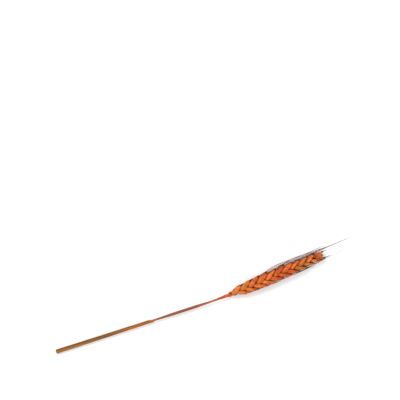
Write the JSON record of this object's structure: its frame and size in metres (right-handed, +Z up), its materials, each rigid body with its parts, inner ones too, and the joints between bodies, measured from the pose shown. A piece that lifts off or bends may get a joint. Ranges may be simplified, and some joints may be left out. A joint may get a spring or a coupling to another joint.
{
  "type": "dried rye ear",
  "caption": "Dried, dyed ear of bearded rye on a cut straw stalk, with two ranks of pointed scales, long bristly awns and a rolled leaf sheath.",
  "frame": {"origin": "on the surface that the ear lies on, below the middle of its bounding box", "axes": "+X along the stalk from its cut end towards the awns' tips, +Z up from the surface, +Y to the left seen from the cut end"},
  "size_m": [0.32, 0.0234, 0.0103],
  "materials": {
    "dyed_scales": "satin",
    "dyed_straw": "satin",
    "dyed_leaf": "matte"
  },
  "bodies": {
    "root": {"ear": "dyed_scales", "stalk": "dyed_straw", "leaf_sheath": "dyed_leaf"}
  },
  "joints": []
}
